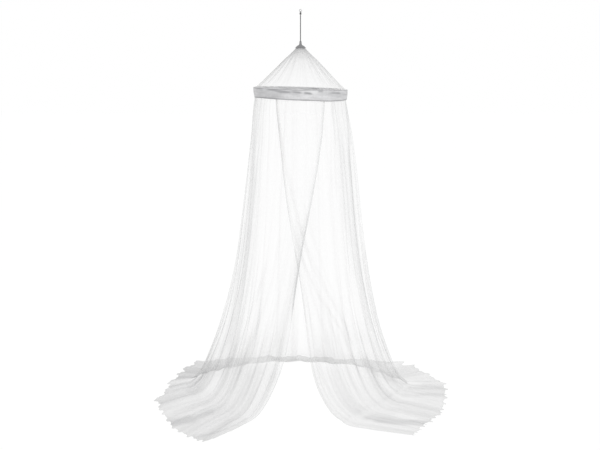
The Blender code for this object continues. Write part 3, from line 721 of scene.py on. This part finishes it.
def crown():
    rows = np.concatenate([[0], np.linspace(0, 1, 60)])
    radii = SEAM_RADIUS + (CROWN_TOP_RADIUS - SEAM_RADIUS) * rows
    depths = 0.56 * CROWN_DEPTH * ramp(rows, 0.03, 0.3) * (1 - ramp(rows, 0.5, 0.86))
    fine_depths = 0.0006 * ramp(rows, 0.02, 0.2) * (1 - 0.75 * ramp(rows, 0.4, 0.98))
    tuck = np.where(np.arange(len(rows)) == 0, CROWN_TUCK, 0)
    shifts = [CROWN_SHIFT_DEG * math.sin(2.4 * (k % CROWN_PLEATS)) for k in range(CROWN_PLEATS + 1)]
    ridges = [360 * k / CROWN_PLEATS + shift for k, shift in enumerate(shifts)]
    bearings = np.linspace(0, 360, 721)[:-1]
    share = np.interp(bearings, ridges, np.arange(CROWN_PLEATS + 1))
    ridge = 0.5 + 0.5 * np.cos(2 * math.pi * share)
    turn = np.radians(bearings)
    small = 0.5 + 0.5 * np.sin(64 * turn + 1.3 * np.sin(5 * turn) + 0.8 * np.sin(11 * turn))
    sunk = depths[None, :] * (1 - ridge)[:, None] + fine_depths[None, :] * small[:, None]
    sunk = sunk + 0.0030 * ramp(radii, 0.022, 0.034) * (1 - ramp(radii, 0.060, 0.110))
    side = np.exp(-(((bearings - 84) / 34) ** 2))[:, None]
    out = radii[None, :] - sunk - 0.0030 * side * ramp(rows, 0.02, 0.2) * (1 - ramp(rows, 0.7, 0.95))
    height = APEX_Z - crown_drop(radii)[None, :] - sunk - tuck[None, :]
    grid = np.stack([out * np.sin(turn)[:, None], -out * np.cos(turn)[:, None], height], axis=-1)
    grid = lean(grid, 1 - rows[None, :])
    piece = add_mesh("crown_net", grid, around=True)
    slope = np.hypot(1, CROWN_FALL) * (SEAM_RADIUS - radii)
    flat = np.stack(np.broadcast_arrays((turn * SEAM_RADIUS)[:, None], slope[None, :] + 0.02), axis=-1)
    set_uv(piece, flat)
    close = np.clip(0.052 * (SEAM_RADIUS / radii) ** 1.25, 0, 0.8) + 0.16 * (1 - ramp(rows, 0.004, 0.022))
    close = close[None, :] * (1 + 0.30 * np.exp(-(((bearings - 75) / 60) ** 2)))[:, None]
    set_number(piece, "closeness", close)
    # Painted shade: the net darkens towards the apex, where it is gathered tight under the cap.
    shade = np.clip(0.8 * (0.040 / radii) - 0.1, 0, 1)
    set_number(piece, "shade", np.broadcast_to(shade, grid.shape[:2]))
    set_number(piece, "streak", np.ones(grid.shape[:2]))
    set_number(piece, "slant", np.full(grid.shape[:2], 1.35))
    return piece


# ---------------------------------------------------------------- the band


def band():
    """The satin strip over the hoop, with the pulls and creases that its seams leave in it."""
    outer = HOOP_RADIUS + ROD_RADIUS + CLEARANCE + BAND_WALL
    inner = INNER_LEG_RADIUS
    middle = (outer + inner) / 2
    half = (outer - inner) / 2
    hem_rows, outer_rows, inner_rows = 2, 22, 8
    over = np.radians(np.linspace(0, 180, 9))[1:-1]
    profile_r = np.concatenate([
        [outer - 0.0012, outer - 0.0003],
        np.full(outer_rows, outer),
        middle + half * np.cos(over),
        np.full(inner_rows, inner),
    ])
    profile_z = np.concatenate([
        [-BAND_HEIGHT + 0.004, -BAND_HEIGHT - 0.0002],
        np.linspace(-BAND_HEIGHT, -0.003, outer_rows),
        -0.003 + 0.003 * np.sin(over),
        np.linspace(-0.003, -BAND_INNER_LEG, inner_rows),
    ])
    turn = np.linspace(0, 2 * math.pi, 721)[:-1]
    facing = np.zeros_like(profile_r)
    facing[:hem_rows + outer_rows] = 1.0
    down = -profile_z
    arc = turn * HOOP_RADIUS
    pull = np.zeros((len(turn), len(profile_r)))
    creases = (
        # bearing_deg, width_deg, fall, thickness, depth
        (-27, 30, 0.013, 0.0060, 0.0016),
        (-4, 12, 0.017, 0.0050, 0.0013),
        (9, 9, 0.021, 0.0055, 0.0020),
        (48, 18, 0.018, 0.0060, 0.0007),
        (66, 16, 0.026, 0.0060, 0.0003),
        (-64, 26, 0.030, 0.0090, 0.0004),
        (104, 18, 0.017, 0.0060, 0.0015),
        (128, 30, 0.028, 0.0070, 0.0014),
        (166, 22, 0.014, 0.0055, 0.0018),
        (-158, 26, 0.024, 0.0070, 0.0013),
        (-122, 24, 0.016, 0.0060, 0.0016),
        (-94, 18, 0.034, 0.0070, 0.0012),
    )
    # Painted shade: dark lines along creases that the strip's shape doesn't carry, added to its shade only.
    painted_crease_shades = (
        # bearing_deg, width_deg, fall, thickness, shade
        (-18.5, 7, 0.0170, 0.0050, 0.8),
        (7.6, 4, 0.0235, 0.0050, 0.5),
        (24, 3, 0.0100, 0.0050, 0.8),
        (45, 11, 0.0190, 0.0050, 0.6),
        (2, 20, 0.0300, 0.0120, 0.15),
    )
    degrees = np.degrees(turn)
    for at, width, fall, thick, depth in creases:
        away = (degrees - at + 180) % 360 - 180
        middle_fall = fall + 0.004 * np.sin(np.radians(away * 9))
        soft = np.exp(-((away / (width * 0.5)) ** 4))
        pull += depth * soft[:, None] * np.exp(-(((down[None, :] - middle_fall[:, None]) / thick) ** 2))
    wrinkled = np.exp(-(((down - 0.040) / 0.020) ** 2))[None, :]
    wrinkle = 0.0007 * waves(arc, 31, (0.021, 0.013))[:, None] * wrinkled
    puff = 0.0012 * np.sin(np.clip((down - 0.002) / (BAND_HEIGHT - 0.004), 0, 1) * math.pi)[None, :]
    seam = 0.0009 * np.exp(-(((down - 0.0045) / 0.0014) ** 2))
    seam = seam + 0.0010 * np.exp(-(((down - BAND_HEIGHT + 0.0045) / 0.0014) ** 2))
    stitch = 0.6 + 0.4 * np.sign(np.sin(2 * math.pi * arc / 0.0055))
    radius = profile_r[None, :] + facing[None, :] * (puff + wrinkle - pull - seam[None, :] * stitch[:, None])
    low = ramp(down, 0.012, BAND_HEIGHT)[None, :] * facing[None, :]
    foot_lift = np.interp(degrees, BAND_FOOT[:, 0], BAND_FOOT[:, 1], period=360)
    foot_in = np.interp(degrees, BAND_FOOT[:, 0], BAND_FOOT[:, 2], period=360)
    radius = radius - low * foot_in[:, None]
    sag = 0.0008 * waves(arc, 41, (0.31, 0.17))[:, None] * low + low * foot_lift[:, None]
    rise = np.interp(degrees, BAND_FOOT[:, 0], BAND_FOOT[:, 3], period=360)
    on_inner_leg = np.arange(len(profile_z)) >= len(profile_z) - inner_rows
    loose = np.where(on_inner_leg, ramp(profile_z, -BAND_INNER_LEG, -0.003), 1.0)
    brim = 0.0026 * ramp(profile_z, -0.030, -0.004) * loose
    height = profile_z[None, :] + sag + rise[:, None] * loose[None, :] + brim[None, :]
    x, y = radius * np.sin(turn)[:, None], -radius * np.cos(turn)[:, None]
    grid = np.stack([x, y, BAND_TOP_Z + height], axis=-1)
    grid = lean(grid, np.ones(len(profile_r)))
    piece = add_mesh("satin_band", grid, around=True)
    steps = np.hypot(np.diff(profile_r), np.diff(profile_z))
    along = np.concatenate([[0], np.cumsum(steps)])
    set_uv(piece, np.stack(np.broadcast_arrays(arc[:, None], along[None, :]), axis=-1))
    # Painted shade in the creases that the pulls leave and in the grooves of the stitched seams.
    shade = np.clip(pull / 0.0013, 0, 1) + 0.9 * np.clip(seam / 0.001, 0, 1)[None, :] * facing[None, :]
    for at, width, fall, thick, depth in painted_crease_shades:
        away = (degrees - at + 180) % 360 - 180
        beside = np.exp(-((away / width) ** 4))[:, None]
        below = np.exp(-(((down - fall) / thick) ** 2) * facing)[None, :]
        shade = shade + depth * (beside * below)
    # Painted shade: dark lines along the rolled top edge and along the foot of the strip, the foot's
    # strongest a little left of the front.
    rim = np.exp(-(((down - 0.002) / 0.0042) ** 2)) * 1.5
    hem = 0.9 + 0.7 * np.exp(-(((degrees + 15) / 24) ** 2))
    shade = shade + (rim * facing)[None, :] * (0.75 + 0.25 * waves(arc, 53, (0.21, 0.11)))[:, None]
    shade = shade + hem[:, None] * (np.exp(-(((down - BAND_HEIGHT) / 0.0050) ** 2)) * facing)[None, :]
    # Painted shade: the strip is darker towards its front left.
    shade = shade + 0.25 * np.exp(-(((degrees + 38 + 180) % 360 - 180) / 26) ** 2)[:, None]
    set_number(piece, "shade", np.clip(shade, 0, 1.4))
    return piece


# ---------------------------------------------------------------- the cap, the cord and the ring


def cap():
    """The gathered cap: a bound neck round the cord, and a short pleated skirt over the top of the cone."""
    turn = np.linspace(0, 2 * math.pi, 241)[:-1]
    stand = 0.0014
    neck_top = APEX_Z + CAP_NECK_HEIGHT

    def over(radius, extra):
        return APEX_Z - float(crown_drop(np.array(radius))) + stand + extra

    profile = (
        # radius, height, pleat
        (0.0012, neck_top, 0.0),
        (0.0048, neck_top + 0.0004, 0.05),
        (0.0062, neck_top - 0.0014, 0.10),
        (0.0056, neck_top - 0.0034, 0.10),
        (0.0066, neck_top - 0.0048, 0.06),
        (0.0062, neck_top - 0.0062, 0.06),
        (0.0069, neck_top - 0.0076, 0.06),
        (0.0066, neck_top - 0.0110, 0.15),
        (0.0074, neck_top - 0.0160, 0.30),
        (0.0084, neck_top - 0.0210, 0.30),
        (0.0100, over(0.0100, 0.0014), 0.30),
        (0.0150, over(0.0150, 0.0012), 0.60),
        (0.0210, over(0.0210, 0.0012), 0.90),
        (0.0270, over(0.0270, -0.0004), 1.00),
        (0.0325, over(0.0325, -0.0020), 1.00),
        (0.0320, over(0.0320, -0.0034), 0.60),
        (0.0240, over(0.0240, 0.0), 0.20),
        (0.0150, over(0.0150, 0.0), 0.05),
    )
    fine = through(profile, np.linspace(0, len(profile) - 1, 65))
    wave = 0.5 + 0.5 * np.sin(17 * turn + 0.9 * np.sin(3 * turn) + 0.5 * np.sin(7 * turn))
    lift = 0.0016 * wave[:, None] * np.clip(fine[:, 2], 0, 1)[None, :]
    ragged = 0.0022 * (wave[:, None] - 0.5) * ramp(fine[:, 0], 0.026, 0.034)[None, :]
    radius = fine[:, 0][None, :] + 0.7 * lift + ragged
    height = fine[:, 1][None, :] + 0.7 * lift - ragged
    grid = np.stack([radius * np.sin(turn)[:, None], -radius * np.cos(turn)[:, None], height], axis=-1)
    piece = add_mesh("gathered_cap", grid[:, ::-1], around=True)
    flat = np.stack(np.broadcast_arrays((turn * 0.03)[:, None], np.linspace(0.06, 0, 65)[None, :]), axis=-1)
    set_uv(piece, flat)
    return piece


def tube(name, path, radius, lobes=0, twist_pitch=0.02, depth=0.0, sides=24, closed=False):
    """A tube along a path, with a rope's lobes turning round it."""
    path = np.asarray(path, float)
    tangent = np.gradient(path, axis=0)
    if closed:
        tangent = np.roll(path, -1, axis=0) - np.roll(path, 1, axis=0)
    tangent /= np.linalg.norm(tangent, axis=1, keepdims=True)
    side = np.cross(tangent, (0.0, 1.0, 0.0))
    weak = np.linalg.norm(side, axis=1) < 0.3
    side[weak] = np.cross(tangent[weak], (1.0, 0.0, 0.0))
    side /= np.linalg.norm(side, axis=1, keepdims=True)
    other = np.cross(tangent, side)
    along = np.concatenate([[0], np.cumsum(np.linalg.norm(np.diff(path, axis=0), axis=1))])
    turn = np.linspace(0, 2 * math.pi, sides + 1)[:-1]
    phase = 2 * math.pi * along / twist_pitch
    bulge = np.full((len(path), sides), radius)
    if lobes:
        strands = np.abs(np.cos((lobes / 2) * (turn[None, :] - phase[:, None])))
        bulge = radius - depth * (0.5 - 0.5 * strands)
    grid = path[:, None, :] + bulge[:, :, None] * (
        side[:, None, :] * np.cos(turn)[None, :, None] + other[:, None, :] * np.sin(turn)[None, :, None])
    grid = grid.transpose(1, 0, 2)
    if not closed:
        ends = [np.repeat(path[None, k:k + 1], sides, axis=0) for k in (0, len(path) - 1)]
        grid = np.concatenate([ends[0], grid, ends[1]], axis=1)
        along = np.concatenate([along[:1], along, along[-1:]])
    else:
        grid = np.concatenate([grid, grid[:, :1]], axis=1)
        along = np.concatenate([along, [along[-1] * (1 + 1 / len(along))]])
    piece = add_mesh(name, grid, around=True)
    flat = np.stack(np.broadcast_arrays((turn * radius)[:, None], along[None, :]), axis=-1)
    set_uv(piece, flat)
    weld(piece)
    return piece


def weld(piece):
    """Joins the points that a tube's ends or its closing ring leave in one place."""
    mesh = bmesh.new()
    mesh.from_mesh(piece.data)
    bmesh.ops.remove_doubles(mesh, verts=mesh.verts, dist=0.00001)
    bmesh.ops.recalc_face_normals(mesh, faces=mesh.faces)
    mesh.to_mesh(piece.data)
    mesh.free()
    piece.data.shade_smooth()


def ring_pieces():
    ring_z = -(RING_RADIUS - RING_WIRE_RADIUS)
    loop_z = ring_z - RING_RADIUS + RING_WIRE_RADIUS + CLEARANCE - (LOOP_RADIUS - LOOP_CORD_RADIUS)
    knot_z = loop_z - LOOP_RADIUS - KNOT_HEIGHT / 2 + 0.003
    turn = np.linspace(0, 2 * math.pi, 73)[:-1]
    circle = np.column_stack([RING_RADIUS * np.sin(turn), 0 * turn, ring_z + RING_RADIUS * np.cos(turn)])
    ring = tube("wire_ring", circle, RING_WIRE_RADIUS, sides=16, closed=True)
    circle = np.column_stack([0 * turn, LOOP_RADIUS * np.sin(turn), loop_z + LOOP_RADIUS * np.cos(turn)])
    loop = tube(
        "cord_loop", circle, LOOP_CORD_RADIUS,
        lobes=3, twist_pitch=0.0105, depth=0.0007, sides=18, closed=True,
    )
    turns = 4
    angle = np.linspace(0, 2 * math.pi * turns, 40 * turns)
    height = knot_z + (np.linspace(0.5, -0.5, len(angle))) * (KNOT_HEIGHT - 0.0034)
    wrap = 0.0044
    helix = np.column_stack([wrap * np.cos(angle), wrap * np.sin(angle), height])
    knot = tube("cord_wraps", helix, 0.0018, lobes=3, twist_pitch=0.009, depth=0.0006, sides=14)
    core_heights = np.linspace(knot_z + 0.0072, knot_z - 0.0066, 24)
    core_path = np.column_stack([np.zeros(24), np.zeros(24), core_heights])
    core = tube("knot_core", core_path, 0.0034, lobes=3, twist_pitch=0.012, depth=0.0007, sides=18)
    return ring, loop, knot, core, knot_z


def cord_piece(knot_z):
    low = APEX_Z + CAP_NECK_HEIGHT + CLEARANCE
    high = knot_z - KNOT_HEIGHT / 2 - CLEARANCE
    path = np.column_stack([np.zeros(160), np.zeros(160), np.linspace(low, high, 160)])
    piece = tube("twisted_cord", path, CORD_RADIUS, lobes=3, twist_pitch=0.018, depth=0.0011, sides=30)
    return piece, path


# ---------------------------------------------------------------- light, floor and camera


def stage():
    scene = bpy.context.scene
    bpy.ops.mesh.primitive_plane_add(size=60, location=(0, 0, FLOOR_Z - 0.0005))
    floor = bpy.context.object
    floor.name = "floor"
    m = Nodes("pale_floor")
    seen = m.add("ShaderNodeLightPath").outputs["Is Camera Ray"]
    m.feed(m.shader.inputs["Base Color"], m.mix(seen, (0.80, 0.80, 0.80), (0.03, 0.03, 0.03)))
    m.shader.inputs["Roughness"].default_value = 0.9
    m.shader.inputs["Specular IOR Level"].default_value = 0.0
    m.shader.inputs["Emission Color"].default_value = (1, 1, 1, 1)
    m.feed(m.shader.inputs["Emission Strength"], m.math("MULTIPLY", seen, 0.985))
    floor.data.materials.append(m.material)

    world = bpy.data.worlds.new("studio")
    scene.world = world
    world.use_nodes = True
    tree = world.node_tree
    background = tree.nodes["Background"]
    background.inputs["Color"].default_value = (1, 1, 1, 1)
    sight = tree.nodes.new("ShaderNodeLightPath").outputs["Is Camera Ray"]
    level = tree.nodes.new("ShaderNodeMapRange")
    level.inputs["To Min"].default_value = 0.62
    level.inputs["To Max"].default_value = 1.0
    tree.links.new(sight, level.inputs["Value"])
    tree.links.new(level.outputs["Result"], background.inputs["Strength"])
    for name, place, target, size, power in (
        ("key", (2.6, -3.6, 1.8), (0, 0, -1.2), 2.4, 120),
        ("fill", (-3.4, -2.6, 0.8), (0, 0, -1.4), 2.4, 60),
        ("back", (0.6, 3.6, 1.8), (0, 0, -1.2), 2.4, 40),
    ):
        light = bpy.data.lights.new(name, "AREA")
        light.energy = power
        light.size = size
        lamp = bpy.data.objects.new(name, light)
        scene.collection.objects.link(lamp)
        lamp.location = place
        lamp.rotation_euler = (Vector(target) - Vector(place)).to_track_quat("-Z", "Y").to_euler()

    view = bpy.data.cameras.new("camera")
    view.lens = CAMERA_LENS
    view.sensor_width = 36
    view.sensor_fit = "HORIZONTAL"
    view.shift_x = -0.5 / 600
    camera = bpy.data.objects.new("camera", view)
    scene.collection.objects.link(camera)
    camera.location = CAMERA_AT
    camera.rotation_euler = (math.radians(90 - CAMERA_TILT_DEG), 0, 0)
    scene.camera = camera
    scene.view_settings.view_transform = "Standard"
    scene.cycles.transparent_max_bounces = 48


def main():
    stage()
    net = net_material("knitted_net", 11.0, 0.70, 4.4, 0.34, 0.28)
    crown_cloth = net_material("gathered_net", 60.0, 0.20, 14.0, 0.10, 0.13)
    satin = satin_material()
    # The cap's cloth is grey; its darker grey here is painted shade for the cap's tight gathers.
    cap_cloth_painted_shade = cloth_material("cap_cloth_painted_shade", (0.30, 0.30, 0.305), (0.13, 0.13, 0.135), 900.0)
    dark_cord = cloth_material("dark_cord", (0.12, 0.12, 0.12), (0.045, 0.045, 0.045), 1600.0)
    steel = solid_material("steel_wire", (0.55, 0.55, 0.56), (0.36, 0.36, 0.37), 0.32, 1.0, 700.0)
    coating = solid_material("rod_coating", (0.78, 0.78, 0.76), (0.66, 0.66, 0.64), 0.42, 0.0, 160.0)

    drape = curtain()
    finish(drape, net, "net_white", "net_curtain")
    cone = crown()
    finish(cone, crown_cloth, "net_white", "net_crown")
    strip = band()
    finish(strip, satin, "satin_grey", "band")
    hat = cap()
    finish(hat, cap_cloth_painted_shade, "cap_grey", "cap")
    ring, loop, wraps, core, knot_z = ring_pieces()
    finish(ring, steel, "steel", "hanging_ring")
    finish(loop, dark_cord, "cord_grey")
    finish(wraps, dark_cord, "cord_grey", "cord_knot")
    finish(core, dark_cord, "cord_grey")
    line, path = cord_piece(knot_z)
    finish(line, dark_cord, "cord_grey", "hanging_cord")
    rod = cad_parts["hoop"]
    rod.data.materials.clear()
    rod.data.materials.append(coating)


main()
